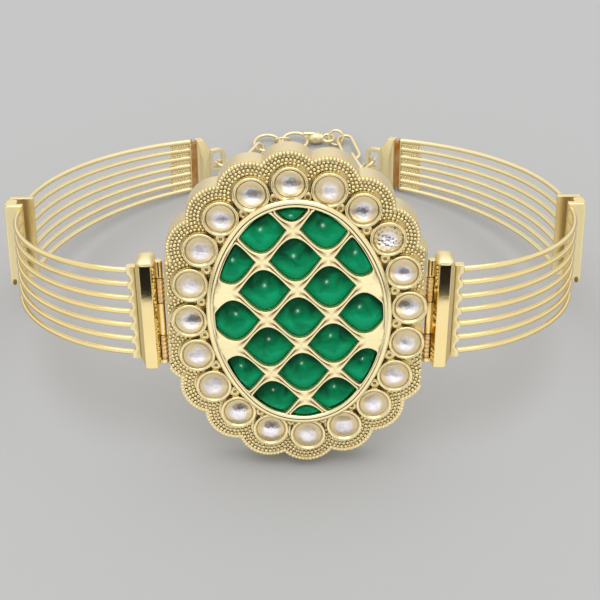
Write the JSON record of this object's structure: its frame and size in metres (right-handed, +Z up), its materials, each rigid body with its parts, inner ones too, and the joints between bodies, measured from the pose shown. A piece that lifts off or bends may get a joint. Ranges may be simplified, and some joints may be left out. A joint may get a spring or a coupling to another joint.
{
  "type": "kundan bracelet",
  "caption": "Hinged bracelet: an oval medallion of foil-backed stones between wire arms, closed behind the wrist by a short chain.",
  "frame": {"origin": "middle of the bracelet's plan, on the surface that it stands on", "axes": "+X to the wearer's right as the medallion is seen, +Y from the medallion to the chain, +Z up"},
  "size_m": [0.0658, 0.0578, 0.0346],
  "materials": {
    "gilt": "polished gilt, shaded in the recesses",
    "pin_metal": "plain gilt wire",
    "clear_stone": "clear cut glass on silver foil",
    "green_stone": "emerald green glass on foil"
  },
  "bodies": {
    "medallion": {"medallion_frame": "gilt", "kundan_stone_01": "clear_stone", "kundan_stone_02": "clear_stone", "kundan_stone_03": "clear_stone", "kundan_stone_04": "clear_stone", "kundan_stone_05": "clear_stone", "kundan_stone_06": "clear_stone", "kundan_stone_07": "clear_stone", "kundan_stone_08": "clear_stone", "kundan_stone_09": "clear_stone", "kundan_stone_10": "clear_stone", "kundan_stone_11": "clear_stone", "kundan_stone_12": "clear_stone", "kundan_stone_13": "clear_stone", "kundan_stone_14": "clear_stone", "kundan_stone_15": "clear_stone", "kundan_stone_16": "clear_stone", "kundan_stone_17": "clear_stone", "kundan_stone_18": "clear_stone", "kundan_stone_19": "clear_stone", "kundan_stone_20": "clear_stone", "green_stone_01": "green_stone", "green_stone_02": "green_stone", "green_stone_03": "green_stone", "green_stone_04": "green_stone", "green_stone_05": "green_stone", "green_stone_06": "green_stone", "green_stone_07": "green_stone", "green_stone_08": "green_stone", "green_stone_09": "green_stone", "green_stone_10": "green_stone", "green_stone_11": "green_stone", "green_stone_12": "green_stone", "green_stone_13": "green_stone", "green_stone_14": "green_stone", "green_stone_15": "green_stone", "green_stone_16": "green_stone", "green_stone_17": "green_stone", "green_stone_18": "green_stone", "green_stone_19": "green_stone"},
    "left_front": {"left_front_arm": "gilt", "left_hinge_pin": "pin_metal", "left_side_pin": "pin_metal"},
    "right_front": {"right_front_arm": "gilt", "right_hinge_pin": "pin_metal", "right_side_pin": "pin_metal"},
    "left_back": {"left_back_arm": "gilt", "left_chain": "gilt"},
    "right_back": {"right_back_arm": "gilt", "right_chain": "gilt", "clasp": "gilt"}
  },
  "joints": [
    {"name": "left_front_hinge", "type": "hinge", "parent": "medallion", "child": "left_front", "pos_m": [-0.01395, -0.02245, 0.01753], "axis": [-0.0244, 0.3151, 0.9487], "range_deg": [0, 35]},
    {"name": "right_front_hinge", "type": "hinge", "parent": "medallion", "child": "right_front", "pos_m": [0.01395, -0.02245, 0.01753], "axis": [-0.0244, -0.3151, -0.9487], "range_deg": [0, 35]},
    {"name": "left_side_hinge", "type": "hinge", "parent": "left_front", "child": "left_back", "pos_m": [-0.03228, -0.00455, 0.01132], "axis": [0, 0.3152, 0.949], "range_deg": [0, 45]},
    {"name": "right_side_hinge", "type": "hinge", "parent": "right_front", "child": "right_back", "pos_m": [0.03228, -0.00455, 0.01132], "axis": [0, -0.3152, -0.949], "range_deg": [0, 45]}
  ]
}
